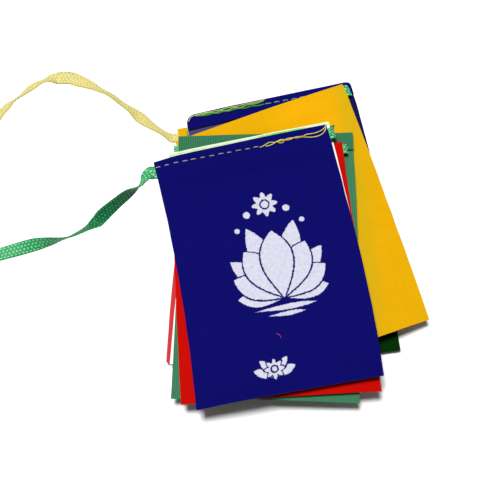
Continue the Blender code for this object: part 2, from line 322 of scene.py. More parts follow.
# Plain weave, as a shader group. Threads cross over and under each other along the cloth's own
# length and width, a little unevenly, with thicker threads here and there and a slight mottle.
weave, given, weave_out = new_group(
    "plain weave",
    (
        ("Place", "Vector", None), ("Thread", "Color", (0.5, 0.5, 0.5, 1)),
        ("Gap", "Color", (0.1, 0.1, 0.1, 1)), ("Warp", "Float", 0.6), ("Weft", "Float", 0.5),
        ("Rib", "Float", 0.3), ("Mottle", "Float", 0.1),
    ),
    (("Color", "Color"), ("Roughness", "Float"), ("Height", "Float")),
)
uneven = put(weave, "TexNoise", given["Place"], None, 0.22, 2.0)
shifted = put(weave, "VectorMath", uneven.outputs["Color"], (0.5, 0.5, 0.5), operation="SUBTRACT")
shifted = put(weave, "VectorMath", shifted.outputs[0], None, None, 0.5, operation="SCALE")
moved = put(weave, "VectorMath", given["Place"], shifted.outputs[0], operation="ADD")
split = put(weave, "SeparateXYZ", moved.outputs[0])
turn_x = sum_of(weave, "DIVIDE", sum_of(weave, "MULTIPLY", split.outputs[0], math.tau), given["Warp"])
turn_y = sum_of(weave, "DIVIDE", sum_of(weave, "MULTIPLY", split.outputs[1], math.tau), given["Weft"])
warp = sum_of(weave, "COSINE", turn_x)
weft = sum_of(weave, "COSINE", turn_y)
crossing = sum_of(weave, "MULTIPLY_ADD", sum_of(weave, "MULTIPLY", warp, weft), 0.5, 0.5)
ribbed = sum_of(weave, "MULTIPLY_ADD", warp, 0.5, 0.5)
relief = put(weave, "Mix", given["Rib"], data_type="FLOAT")
weave.links.new(crossing, relief.inputs[2])
weave.links.new(ribbed, relief.inputs[3])
stretch = put(weave, "VectorMath", given["Place"], (2.4, 0.06, 1.0), operation="MULTIPLY")
slub = put(weave, "TexNoise", stretch.outputs[0], None, 1.0, 2.0)
stretch = put(weave, "VectorMath", given["Place"], (0.06, 2.4, 1.0), operation="MULTIPLY")
slub_across = put(weave, "TexNoise", stretch.outputs[0], None, 1.0, 2.0)
threads = sum_of(weave, "ADD", slub.outputs[0], slub_across.outputs[0])
cloud = put(weave, "TexNoise", given["Place"], None, 0.09, 3.0)
shade = sum_of(weave, "ADD", sum_of(weave, "ADD", threads, cloud.outputs[0]), -1.5)
shade = sum_of(weave, "MULTIPLY_ADD", shade, given["Mottle"], 1.0)
mixed = blend_of(weave, relief.outputs[0], given["Gap"], given["Thread"])
shaded = put(weave, "VectorMath", mixed, None, None, shade, operation="SCALE")
weave.links.new(shaded.outputs[0], weave_out.inputs["Color"])
matte = sum_of(weave, "MULTIPLY_ADD", relief.outputs[0], -0.12, 0.92)
weave.links.new(matte, weave_out.inputs["Roughness"])
raised = sum_of(weave, "ADD", relief.outputs[0], sum_of(weave, "MULTIPLY", threads, 0.5))
weave.links.new(raised, weave_out.inputs["Height"])


MOTTLE = 0.12
WEAVE_RELIEF = 0.05 * MM


def cloth_material(name, thread, gap, warp, weft, rib):
    """A matte dyed cotton of plain weave, with its threads' spacing in millimetres."""
    made, tree, shader = new_material(name, 0.03)
    place = put(tree, "UVMap", uv_map="cloth")
    woven = put(tree, "Group", node_tree=weave)
    tree.links.new(place.outputs[0], woven.inputs["Place"])
    for socket, value in (
        ("Thread", (*thread, 1)), ("Gap", (*gap, 1)), ("Warp", warp), ("Weft", weft),
        ("Rib", rib), ("Mottle", MOTTLE),
    ):
        woven.inputs[socket].default_value = value
    bump = put(tree, "Bump", 0.6, WEAVE_RELIEF)
    tree.links.new(woven.outputs["Height"], bump.inputs["Height"])
    tree.links.new(bump.outputs[0], shader.inputs["Normal"])
    tree.links.new(woven.outputs["Color"], shader.inputs["Base Color"])
    tree.links.new(woven.outputs["Roughness"], shader.inputs["Roughness"])
    return made


# The dyes. Each flag's face and its paler back, as linear colours of the raised threads and of the
# gaps between them.
DYE_COLUMNS = ("name", "thread", "gap", "back", "warp", "weft", "rib")
DYE_ROWS = (
    ("blue", (0.0028, 0.0024, 0.108), (0.0015, 0.0013, 0.066), (0.055, 0.050, 0.140), 0.50, 0.45, 0.3),
    ("white", (0.80, 0.80, 0.76), (0.66, 0.65, 0.60), (0.80, 0.80, 0.76), 0.50, 0.45, 0.3),
    ("red", (0.47, 0.0024, 0.0006), (0.28, 0.0016, 0.0004), (0.53, 0.035, 0.041), 0.50, 0.45, 0.3),
    ("green", (0.040, 0.170, 0.082), (0.013, 0.078, 0.037), (0.042, 0.175, 0.085), 0.62, 0.55, 0.75),
    ("yellow", (0.61, 0.335, 0.0015), (0.46, 0.220, 0.0008), (0.60, 0.33, 0.003), 0.50, 0.55, 0.4),
    # Painted shade: the dark green is set far darker than the green, for the shadow that the ninth flag
    # lies in.
    ("dark_green", (0.0004, 0.025, 0.001), (0.0002, 0.011, 0.0005), (0.01, 0.05, 0.015), 0.50, 0.45, 0.3),
)
dyes = {row[0]: dict(zip(DYE_COLUMNS, row)) for row in DYE_ROWS}
BACK_GAP = 0.6


def dyed_face(name, dye_name):
    """The face of a cloth in one of the dyes."""
    dye = dyes[dye_name]
    return cloth_material(name, dye["thread"], dye["gap"], dye["warp"], dye["weft"], dye["rib"])


def dyed_back(name, dye_name):
    """The paler back of a cloth in one of the dyes, with darker gaps between its threads."""
    dye = dyes[dye_name]
    gap = [c * BACK_GAP for c in dye["back"]]
    return cloth_material(name, dye["back"], gap, dye["warp"], dye["weft"], dye["rib"])


finishes = {name: (dyed_face(name + "_face", name), dyed_back(name + "_back", name)) for name in dyes}

# Each sheet in turn, from the top of the stack down. The top one has the finest mesh.
TOP_MESH = (84, 108)
MESH = (60, 72)
CREASE_ANGLE = math.radians(40)
sheets = []
for number, flag in enumerate(flags):
    sheet, length = lay_sheet(number, *(MESH if number else TOP_MESH))
    dye = flag["name"].split("_", 2)[2]
    for finish in finishes[dye]:
        sheet.data.materials.append(finish)
    bpy.ops.object.modifier_apply(modifier=sheet.modifiers[0].name)
    bpy.ops.object.shade_smooth_by_angle(angle=CREASE_ANGLE)
    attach(sheet, "root")
    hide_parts(flag["name"])
    flat = (flag["hem_width"] * MM, length + flag["hem_turn"] * MM)
    below = sheet.name if number == len(flags) - 1 else flags[number + 1]["name"]
    sheets.append((sheet, flat, below))
    sheet.select_set(False)
cloth_trees = [mesh_tree(sheet) for sheet, _, _ in sheets]


def lay_colour(tree, colour, mask):
    """Lay another colour over a material's own, where the mask is 1."""
    base = tree.nodes["Principled BSDF"].inputs["Base Color"]
    tree.links.new(blend_of(tree, mask, base.links[0].from_socket, colour), base)


def cloth_place(tree):
    """A point's place on the cloth, with its distances along the hem and from the fold."""
    place = put(tree, "UVMap", uv_map="cloth").outputs[0]
    split = put(tree, "SeparateXYZ", place).outputs
    return place, split[0], split[1]


def ramp(tree, value, low, high):
    """0 below low and 1 above high, with a smooth change between them."""
    node = put(tree, "MapRange", value, low, high, 0.0, 1.0, interpolation_type="SMOOTHSTEP")
    return node.outputs[0]


# The second flag's hem. Its thin white cloth lets the green ribbon inside shine through as a pale
# band along the fold, brighter where the cloth is pulled tight. It is a tint on the cloth, by
# millimetres along the hem and from its fold.
BAND_TINT = (0.36, 0.52, 0.20, 1)
BAND_STARTS = (0.35, 0.75)
BAND_ENDS = (1.75, 1.3)
TIGHT_TINT = (0.15, 0.48, 0.07, 1)
TIGHT_STARTS = (29.0, 34.0)
TIGHT_ENDS = (50.0, 44.0)
TIGHT_STREAKS = (0.2, 0.5)
thin_hem = dyed_face("white_hem", "white")
tree = thin_hem.node_tree
place, along_hem, down_cloth = cloth_place(tree)
from_fold = sum_of(tree, "ABSOLUTE", down_cloth)
patchy = put(tree, "TexNoise", place, None, 0.35, 2.0).outputs[0]
band = sum_of(tree, "MULTIPLY", ramp(tree, from_fold, *BAND_STARTS), ramp(tree, from_fold, *BAND_ENDS))
uneven_band = sum_of(tree, "MULTIPLY_ADD", patchy, 0.8, 0.35)
lay_colour(tree, BAND_TINT, sum_of(tree, "MULTIPLY", band, uneven_band))
tight = sum_of(tree, "MULTIPLY", ramp(tree, along_hem, *TIGHT_STARTS), ramp(tree, along_hem, *TIGHT_ENDS))
streaks = ramp(tree, sum_of(tree, "MULTIPLY", band, patchy), *TIGHT_STREAKS)
lay_colour(tree, TIGHT_TINT, sum_of(tree, "MULTIPLY", tight, streaks))
sheets[1][0].data.materials[0] = thin_hem

# The sixth flag's back is paler and greyer towards its left side, and deep blue on the right.
RIGHT_BLUE = (0.004, 0.005, 0.048, 1)
RIGHT_BLUE_STARTS = (42.0, 54.0)
graded_back = dyed_back("blue_back_graded", "blue")
tree = graded_back.node_tree
along_hem = cloth_place(tree)[1]
lay_colour(tree, RIGHT_BLUE, ramp(tree, along_hem, *RIGHT_BLUE_STARTS))
sheets[5][0].data.materials[1] = graded_back

# The fifth flag's dye is more orange near its hem's right end. Beside the top flag the cloth
# bends down, and shade is painted along the bend as an olive tint, which runs aslant down the flag.
BEND_SHADE_TINT = (0.40, 0.285, 0.006, 1)
BEND_SHADE_SHARE = 0.55
BEND_SHADE_REACH = (6.0, 0.5)
BEND_START = 62.7
BEND_SLOPE = -0.222
ORANGE_TINT = (0.72, 0.33, 0.001, 1)
ORANGE_SHARE = 0.35
ORANGE_REACH = (20.0, 4.0)
ORANGE_PLACE = (46.0, 12.0, 0)
ORANGE_CLOUD = 14.0
toned_and_shaded = dyed_face("yellow_toned_and_shaded", "yellow")
tree = toned_and_shaded.node_tree
place, along_hem, down_cloth = cloth_place(tree)
bend_line = sum_of(tree, "MULTIPLY_ADD", down_cloth, BEND_SLOPE, BEND_START)
off_bend = sum_of(tree, "ABSOLUTE", sum_of(tree, "SUBTRACT", along_hem, bend_line))
# Painted shade: an olive tint along the bend, for the shade in the cloth's fold.
lay_colour(tree, BEND_SHADE_TINT, sum_of(tree, "MULTIPLY", ramp(tree, off_bend, *BEND_SHADE_REACH), BEND_SHADE_SHARE))
cloudy = put(tree, "TexNoise", place, None, 0.08, 2.0).outputs[0]
away = put(tree, "VectorMath", place, ORANGE_PLACE, operation="DISTANCE").outputs["Value"]
away = sum_of(tree, "ADD", away, ORANGE_CLOUD / 2)
away = sum_of(tree, "MULTIPLY_ADD", cloudy, -ORANGE_CLOUD, away)
lay_colour(tree, ORANGE_TINT, sum_of(tree, "MULTIPLY", ramp(tree, away, *ORANGE_REACH), ORANGE_SHARE))
sheets[4][0].data.materials[0] = toned_and_shaded


# The print on the top flag, in white ink that is a little ragged at its edges and thin over the
# weave: a lotus under a small rosette, and a smaller flower with leaves near the foot. Each petal
# and leaf is a row: its base, its angle from upright in degrees, its length and its half width, in
# millimetres on the cloth. A later row lies in front of the earlier ones, with a gap round it.
PETAL_ROWS = (
    (32.6, 56.0, -45, 21.5, 3.3), (32.6, 56.0, 45, 21.5, 3.3), (32.6, 56.0, -17, 27.0, 3.6),
    (32.6, 56.0, 17, 27.0, 3.6), (32.6, 56.0, -83, 15.0, 2.7), (32.6, 56.0, 83, 15.0, 2.7),
    (32.6, 56.0, -60, 17.5, 3.8), (32.6, 56.0, 60, 17.5, 3.8), (32.6, 56.0, -30, 20.5, 4.5),
    (32.6, 56.0, 30, 20.5, 4.5), (32.6, 56.0, 0, 23.5, 5.1), (22.6, 59.2, 90, 20.0, 0.9),
    (26.6, 61.4, 90, 12.0, 0.7), (25.8, 81.0, -68, 7.2, 1.35), (25.8, 81.0, 68, 7.2, 1.35),
    (25.8, 80.2, -42, 6.6, 1.1), (25.8, 80.2, 42, 6.6, 1.1),
)
DOT_ROWS = (
    (32.6, 23.0, 3.6, 0.8), (25.9, 25.6, 1.2, 0.0), (39.3, 25.6, 1.2, 0.0), (21.7, 30.6, 0.9, 0.0),
    (43.5, 30.6, 0.9, 0.0), (25.8, 78.6, 2.6, 0.6),
)
PETAL_GAP = 0.55
RAGGED = 0.75
FULLER_TIP = 0.35
LOBES = 8.0
RING_SHARE = 0.42
RING_HALF_WIDTH = 0.24
INK_RELIEF = 0.08 * MM
INK = (0.50, 0.50, 0.585, 1)
lotus, given, lotus_out = new_group(
    "lotus print", (("Place", "Vector", None),), (("Ink", "Float"), ("Body", "Float"))
)
ragged = put(lotus, "TexNoise", given["Place"], None, 1.6, 3.0)
ragged = put(lotus, "VectorMath", ragged.outputs["Color"], (0.5, 0.5, 0.5), operation="SUBTRACT")
ragged = put(lotus, "VectorMath", ragged.outputs[0], None, None, RAGGED, operation="SCALE")
inked = put(lotus, "VectorMath", given["Place"], ragged.outputs[0], operation="ADD")
inked = put(lotus, "VectorMath", inked.outputs[0], (1, 1, 0), operation="MULTIPLY").outputs[0]
ink = -99.0
for x, y, angle, length, half_width in PETAL_ROWS:
    ahead = Vector((math.sin(math.radians(angle)), -math.cos(math.radians(angle)), 0))
    away = put(lotus, "VectorMath", inked, (x, y, 0), operation="SUBTRACT").outputs[0]
    run = put(lotus, "VectorMath", away, ahead, operation="DOT_PRODUCT").outputs["Value"]
    across = (-ahead.y, ahead.x, 0)
    aside = put(lotus, "VectorMath", away, across, operation="DOT_PRODUCT").outputs["Value"]
    share = sum_of(lotus, "MULTIPLY_ADD", run, 2 / length, -1.0)
    belly = sum_of(lotus, "SUBTRACT", 1.0, sum_of(lotus, "MULTIPLY", share, share))
    fuller = sum_of(lotus, "MAXIMUM", sum_of(lotus, "MULTIPLY_ADD", share, FULLER_TIP, 1.0), 0.2)
    belly = sum_of(lotus, "MULTIPLY", belly, fuller)
    belly = sum_of(lotus, "MULTIPLY", belly, half_width)
    petal = sum_of(lotus, "SUBTRACT", belly, sum_of(lotus, "ABSOLUTE", aside))
    around = sum_of(lotus, "MULTIPLY_ADD", petal, -1.0, -PETAL_GAP)
    ink = sum_of(lotus, "MAXIMUM", sum_of(lotus, "MINIMUM", ink, around), petal)
for x, y, radius, scallop in DOT_ROWS:
    away = put(lotus, "VectorMath", inked, (x, y, 0), operation="SUBTRACT").outputs[0]
    distance = put(lotus, "VectorMath", away, operation="LENGTH").outputs["Value"]
    split = put(lotus, "SeparateXYZ", away)
    turn = sum_of(lotus, "ARCTAN2", split.outputs[1], split.outputs[0])
    turn = sum_of(lotus, "MULTIPLY", turn, LOBES)
    rim = sum_of(lotus, "MULTIPLY_ADD", sum_of(lotus, "COSINE", turn), scallop, radius)
    dot = sum_of(lotus, "SUBTRACT", rim, distance)
    if scallop:
        ring = sum_of(lotus, "ABSOLUTE", sum_of(lotus, "SUBTRACT", distance, radius * RING_SHARE))
        dot = sum_of(lotus, "MINIMUM", dot, sum_of(lotus, "SUBTRACT", ring, RING_HALF_WIDTH))
    around = sum_of(lotus, "SUBTRACT", sum_of(lotus, "SUBTRACT", distance, rim), PETAL_GAP)
    ink = sum_of(lotus, "MAXIMUM", sum_of(lotus, "MINIMUM", ink, around), dot)
covered = ramp(lotus, ink, -0.1, 0.16)
thin = put(lotus, "TexNoise", given["Place"], None, 0.9, 4.0)
worn = put(lotus, "TexNoise", given["Place"], None, 3.2, 2.0)
body = sum_of(lotus, "MULTIPLY_ADD", thin.outputs[0], 0.45, 0.62)
body = sum_of(lotus, "MULTIPLY_ADD", worn.outputs[0], 0.35, sum_of(lotus, "ADD", body, -0.12))
lotus.links.new(covered, lotus_out.inputs["Body"])
coverage = sum_of(lotus, "MULTIPLY", covered, put(lotus, "Clamp", body).outputs[0])
lotus.links.new(coverage, lotus_out.inputs["Ink"])

printed = dyed_face("blue_printed", "blue")
tree = printed.node_tree
place = put(tree, "UVMap", uv_map="cloth").outputs[0]
stamp = put(tree, "Group", node_tree=lotus)
tree.links.new(place, stamp.inputs["Place"])
lay_colour(tree, INK, stamp.outputs["Ink"])
raised = put(tree, "Bump", 0.5, INK_RELIEF)
tree.links.new(stamp.outputs["Body"], raised.inputs["Height"])
woven_normal = tree.nodes["Principled BSDF"].inputs["Normal"]
tree.links.new(woven_normal.links[0].from_socket, raised.inputs["Normal"])
tree.links.new(raised.outputs[0], woven_normal)
sheets[0][0].data.materials[0] = printed


# The ribbon. One flat braid of polyester, 4.6 mm wide, runs through all ten hems. Where the string
# folds over it shows as a short fold between two hems, and it lies free at both ends.
RIBBON_WIDTH = 4.6 * MM
RIBBON_THICK = 0.62 * MM
CAD_RIBBON_THICK = 1.0 * MM
RIBBON_INSET = 3.4
SEAT_GAP = 0.3 * MM
STRAIGHT = 0.9 * MM
FLOOR_GAP = 0.1 * MM
BRAID_PITCH = 1.3 * MM
BRAID_ROWS = 4
BRAID_RELIEF = 0.16 * MM
BRAID_SLANT = 0.16
BRAID_BEAT = 0.45
BRAID_RIM = 0.05 * MM
RING_STEP = 0.16 * MM
RING_SIDES = 13
ROUND_ANGLE = math.radians(60)
HEM_PROBE = 0.6 * MM


def hem_middle(number, side, inset=RIBBON_INSET):
    """The middle of a hem's end, where the ribbon comes out, and the direction that it takes."""
    flag = flags[number]
    out = along(flag["turn"]) * (2 * side - 1)
    share = inset / flag["left_side"]
    place = spot(flag, side, share)
    tree = mesh_tree(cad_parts[flag["name"]])
    low = height_at(tree, place - out * HEM_PROBE, upper=False)
    place += out * SEAT_GAP
    place.z = low + HEM_THICK / 2
    return place, out


def add_piece(name, data, finish):
    """A closed mesh as a piece of the scene, with its normals outwards and its finish."""
    piece = bpy.data.objects.new(name, data)
    bpy.context.scene.collection.objects.link(piece)
    bpy.context.view_layer.objects.active = piece
    piece.select_set(True)
    bpy.ops.object.mode_set(mode="EDIT")
    bpy.ops.mesh.select_all(action="SELECT")
    bpy.ops.mesh.normals_make_consistent(inside=False)
    bpy.ops.object.mode_set(mode="OBJECT")
    bpy.ops.object.shade_smooth_by_angle(angle=ROUND_ANGLE)
    piece.select_set(False)
    piece.data.materials.append(finish)
    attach(piece, "root")
    return piece


def across_at(k):
    """How far across the ribbon a point of a ring is, from -1 to 1, on either of its faces."""
    k = k if k < RING_SIDES else 2 * RING_SIDES - 1 - k
    return k / (RING_SIDES - 1) * 2 - 1


def braid_ribbon(name, rings, finish, width=RIBBON_WIDTH):
    """A flat braid along rings, which are its middle, its width's direction and its own length."""
    sides = 2 * RING_SIDES
    points = []
    for middle, wide, normal, run in rings:
        for k in range(sides):
            across = across_at(k)
            upper = 1 if k < RING_SIDES else -1
            row = min(BRAID_ROWS - 1, int((across + 1) / 2 * BRAID_ROWS))
            within = ((across + 1) / 2 * BRAID_ROWS - row) * 2 - 1
            beat = math.cos(math.tau * (run / BRAID_PITCH + row * 0.5 + within * BRAID_SLANT * upper))
            knot = (1 - within * within) * (1 - BRAID_BEAT + BRAID_BEAT * beat) * BRAID_RELIEF
            body = (RIBBON_THICK / 2 - BRAID_RELIEF) * (1 - across**8) + BRAID_RIM
            points.append(middle + wide * across * width / 2 + normal * upper * (body + knot))
    faces = []
    for i in range(len(rings) - 1):
        for k in range(sides):
            a, b = i * sides + k, i * sides + (k + 1) % sides
            faces.append((a, b, b + sides, a + sides))
    faces.append(tuple(range(sides - 1, -1, -1)))
    faces.append(tuple(range((len(rings) - 1) * sides, len(rings) * sides)))
    data = bpy.data.meshes.new(name)
    data.from_pydata(points, [], faces)
    layer = data.uv_layers.new(name="braid")
    for loop, uv in zip(data.loops, layer.data):
        ring, k = divmod(loop.vertex_index, sides)
        uv.uv = (across_at(k) * RIBBON_WIDTH / 2 / MM, rings[ring][3] / MM)
    # Marks the inner face, where the braid materials paint shade.
    inner_shade = data.attributes.new("inner_shade", "FLOAT", "POINT")
    for i, value in enumerate(inner_shade.data):
        value.value = 1 if i % sides < RING_SIDES else 0
    return add_piece(name, data, finish)


def even_rings(points, wides, step):
    """Rings a step apart along points, with the width's direction carried along between them."""
    runs = [0]
    for a, b in zip(points, points[1:]):
        runs.append(runs[-1] + (b - a).length)
    count = max(4, round(runs[-1] / step))
    rings = []
    j = 0
    for i in range(count + 1):
        run = runs[-1] * i / count
        while j < len(runs) - 2 and runs[j + 1] < run:
            j += 1
        t = (run - runs[j]) / (runs[j + 1] - runs[j])
        ahead = (points[j + 1] - points[j]).normalized()
        wide = wides[j].lerp(wides[j + 1], t)
        wide = (wide - ahead * wide.dot(ahead)).normalized()
        rings.append((points[j].lerp(points[j + 1], t), wide, ahead.cross(wide), run))
    return rings


SELVEDGE = 0.35


def ribbon_material(name, bright, deep, edge, inner_shade, knots):
    """A braid, deeper between its strands, with darker selvedges and painted shade on its inner face.

    The colours are linear, the last of them is the painted shade that the inner face's colour is
    multiplied by, and knots is how far the strands' crossings stand out.
    """
    made, tree, shader = new_material(name, 0.12, 0.45)
    uv = put(tree, "UVMap", uv_map="braid").outputs[0]
    split_uv = put(tree, "SeparateXYZ", uv)
    width = RIBBON_WIDTH / MM
    from_side = sum_of(tree, "ADD", split_uv.outputs[0], width / 2)
    rows = sum_of(tree, "MULTIPLY", from_side, BRAID_ROWS / width)
    row = sum_of(tree, "FLOOR", rows)
    within = sum_of(tree, "MULTIPLY_ADD", sum_of(tree, "SUBTRACT", rows, row), 2.0, -1.0)
    offset = sum_of(tree, "MULTIPLY", row, math.pi)
    beat = sum_of(tree, "MULTIPLY_ADD", split_uv.outputs[1], math.tau / (BRAID_PITCH / MM), offset)
    knot = sum_of(tree, "MULTIPLY_ADD", sum_of(tree, "COSINE", beat), BRAID_BEAT, 1 - BRAID_BEAT)
    raised = sum_of(tree, "SUBTRACT", 1.0, sum_of(tree, "MULTIPLY", within, within))
    knot = sum_of(tree, "MULTIPLY", knot, raised)
    fibre_at = put(tree, "VectorMath", uv, (3.0, 9.0, 1.0), operation="MULTIPLY")
    fibre = put(tree, "TexNoise", fibre_at.outputs[0], None, 1.0, 3.0)
    cells = put(tree, "TexNoise", uv, None, 0.9, 1.0)
    share = sum_of(tree, "MULTIPLY_ADD", knot, knots, -0.25 - knots * 0.45)
    share = sum_of(tree, "MULTIPLY_ADD", fibre.outputs[0], 0.8, share)
    share = sum_of(tree, "MULTIPLY_ADD", cells.outputs[0], 0.7, share)
    colour = blend_of(tree, put(tree, "Clamp", share).outputs[0], (*deep, 1), (*bright, 1))
    # Painted shade: the inner face's colour is multiplied down, for the shade on the ribbon's side turned
    # from the light.
    turned = put(tree, "Attribute", attribute_name="inner_shade").outputs["Fac"]
    colour = blend_of(tree, turned, colour, blend_of(tree, 1.0, colour, (*inner_shade, 1), "MULTIPLY"))
    off_middle = sum_of(tree, "ABSOLUTE", split_uv.outputs[0])
    rim = sum_of(tree, "GREATER_THAN", off_middle, width / 2 - SELVEDGE)
    colour = blend_of(tree, rim, colour, (*edge, 1))
    tree.links.new(colour, shader.inputs["Base Color"])
    bump = put(tree, "Bump", 0.35, 0.04 * MM)
    tree.links.new(fibre.outputs[0], bump.inputs["Height"])
    tree.links.new(bump.outputs[0], shader.inputs["Normal"])
    return made


# Each braid's last colour is the painted shade on its inner face.
mint = ribbon_material(
    "mint_braid", (0.13, 0.58, 0.24), (0.004, 0.115, 0.038), (0.012, 0.17, 0.055), (0.16, 0.42, 0.36), 0.95
)
lime = ribbon_material(
    "lime_braid", (0.36, 0.54, 0.16), (0.09, 0.24, 0.05), (0.42, 0.52, 0.18), (0.6, 0.6, 0.6), 0.9
)
gold = ribbon_material(
    "gold_braid", (0.66, 0.61, 0.28), (0.38, 0.32, 0.06), (0.36, 0.30, 0.06), (0.8, 0.8, 0.7), 0.5
)


# The two free tails, which are the ribbon's ends. Each leaves its hem, comes down to the table and
# lies along it, turning about its own length. The rows repeat the model's route: x, y and the
# rise of the lower edge in millimetres, and the twist in degrees. Near its hem the yellow tail is
# twisted up to 8 degrees further here.
TAIL_POINTS = 38
GREEN_START = 0
YELLOW_START = -24
GREEN_TAIL = (
    (-48.8, 18.2, 13.2, -40), (-50.7, 16.2, 11.5, -62), (-54.4, 14.5, 9.0, -105),
    (-59.1, 12.1, 5.6, -122), (-63.7, 9.1, 3.2, -155), (-68.5, 5.4, 1.3, -222),
    (-74.1, 2.5, 0.3, -242), (-78.0, 1.3, 0.0, -262), (-81.1, 0.6, 0.0, -285),
    (-84.9, -0.1, 0.0, -308), (-88.1, -0.7, 0.0, -330), (-93.4, -2.1, 0.0, -350),
    (-98.4, -3.5, 0.0, -360), (-104.3, -5.6, 0.0, -362), (-110.3, -8.6, 0.0, -362),
    (-116.3, -11.4, 0.0, -360),
)
YELLOW_TAIL = (
    (-43.3, 41.1, 0.0, -44), (-45.1, 42.2, 0.0, -46), (-46.9, 43.4, 0.0, -41),
    (-48.7, 44.7, 0.0, -34), (-50.5, 46.2, 0.0, -24), (-52.4, 47.9, 0.0, -18),
    (-54.2, 49.5, 0.0, -30), (-56.0, 50.9, 0.0, -43), (-59.7, 53.6, 0.0, -51),
    (-63.4, 56.6, 0.0, -52), (-67.1, 58.5, 0.0, -47), (-71.0, 60.8, 0.0, -24),
    (-76.7, 63.5, 0.0, 6), (-80.7, 64.0, 0.0, 12), (-83.6, 63.7, 0.0, -4),
    (-87.2, 62.4, 0.0, -46), (-91.4, 60.0, 0.0, -34), (-94.8, 56.6, 0.0, -50),
    (-97.2, 54.6, 0.0, -56), (-99.7, 52.4, 0.0, -36), (-102.2, 49.3, 0.0, -31),
    (-106.3, 43.3, 0.0, -20), (-111.8, 37.4, 0.0, -8), (-117.8, 33.4, 0.0, 0),
)


def smooth(route, share):
    """A share of the way along a smooth curve through a route's rows, apart from its two ends."""
    place = 1 + share * (len(route) - 3)
    i = min(len(route) - 3, int(place))
    t = place - i
    weights = (
        (-t + 2 * t**2 - t**3) / 2, (2 - 5 * t**2 + 3 * t**3) / 2,
        (t + 4 * t**2 - 3 * t**3) / 2, (-(t**2) + t**3) / 2,
    )
    return [sum(w * row[k] for w, row in zip(weights, route[i - 1 : i + 3])) for k in range(4)]


def lay_tail(name, number, rows, start_twist, inside, finish):
    """A free tail from a hem's left end. It starts a little inside the hem, and ends bare."""
    start, out = hem_middle(number, 0)
    low = (start.z - CAD_RIBBON_THICK / 2 - FLOOR_GAP) / MM
    route = []
    for steps in (-1, 0, 1, 2):
        place = (start + out * STRAIGHT * steps) / MM
        route.append((place.x, place.y, low, start_twist))
    route += [*rows, rows[-1]]
    points = []
    twists = []
    for i in range(4 * TAIL_POINTS):
        x, y, rise, twist = smooth(route, i / (4 * TAIL_POINTS - 1))
        lean = abs(math.sin(math.radians(twist))) * (RIBBON_WIDTH - CAD_RIBBON_THICK) / 2
        height = max(0, rise * MM) + FLOOR_GAP + lean + CAD_RIBBON_THICK / 2
        points.append(Vector((x * MM, y * MM, height)))
        twists.append(math.radians(twist))
    points.insert(0, points[0] - out * inside)
    twists.insert(0, twists[0])
    wides = []
    for i, twist in enumerate(twists):
        ahead = points[min(i + 1, len(points) - 1)] - points[max(0, i - 1)]
        side = ahead.cross(Vector((0, 0, 1))).normalized()
        wides.append(side * math.cos(twist) + side.cross(ahead).normalized() * math.sin(twist))
    tail = braid_ribbon(name, even_rings(points, wides, RING_STEP), finish)
    tail.visible_shadow = False
    return tail


GREEN_INSIDE = 2.5 * MM
YELLOW_INSIDE = 0.5 * MM
green_tail = lay_tail("green_tail", 0, GREEN_TAIL, GREEN_START, GREEN_INSIDE, mint)
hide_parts("ribbon_tail_green")
yellow_tail = lay_tail("yellow_tail", 9, YELLOW_TAIL, YELLOW_START, YELLOW_INSIDE, gold)
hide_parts("ribbon_tail_yellow")


# The folds of ribbon between neighbouring hems, at the right and the left by turns. Each comes out
# of one hem's end in a short soft bend. It runs back into the next hem's end, or where that hem
# isn't in line, it tucks in against the neighbour's cloth beside the hem.

# Upper is the number of the flag above the fold, and side is 0 at its left and 1 at its right.
# Toward is -1 where the fold tucks down on the lower flag's cloth, 1 where it tucks up under the
# upper one's, and 0 where it runs back into the next hem. Lengths are in millimetres. The first
# fold's reach is a little shorter here than in the model.
LINK_COLUMNS = ("name", "upper", "side", "toward", "reach", "arch", "width", "inset", "slot")
LINK_ROWS = (
    ("ribbon_fold_01_02", 0, 1, 0, 0.7, 0.0, 4.0, 3.2, "mint"),
    ("ribbon_fold_02_03", 1, 0, 0, 1.1, 0.0, 4.6, 3.4, "mint"),
    ("ribbon_fold_03_04", 2, 1, -1, 1.1, 0.0, 3.8, 2.3, "mint"),
    ("ribbon_fold_04_05", 3, 0, -1, 1.0, 0.0, 2.2, 4.1, "mint"),
    ("ribbon_fold_05_06", 4, 1, -1, 1.3, 0.0, 4.6, 2.7, "mint"),
    ("ribbon_fold_06_07", 5, 0, 1, 1.2, 0.0, 4.6, 3.4, "lime"),
    ("ribbon_fold_07_08", 6, 1, 0, 1.0, 0.0, 4.6, 3.4, "lime"),
    ("ribbon_fold_08_09", 7, 0, 0, 1.2, 0.3, 4.6, 3.4, "lime"),
    ("ribbon_fold_09_10", 8, 1, 0, 1.2, 0.3, 4.6, 3.4, "lime"),
)
LINK_STRAIGHT = 0.2 * MM
LINK_INSIDE = 3 * MM
LINK_STEPS = 24
TUCK_HANDLE = 0.5 * MM
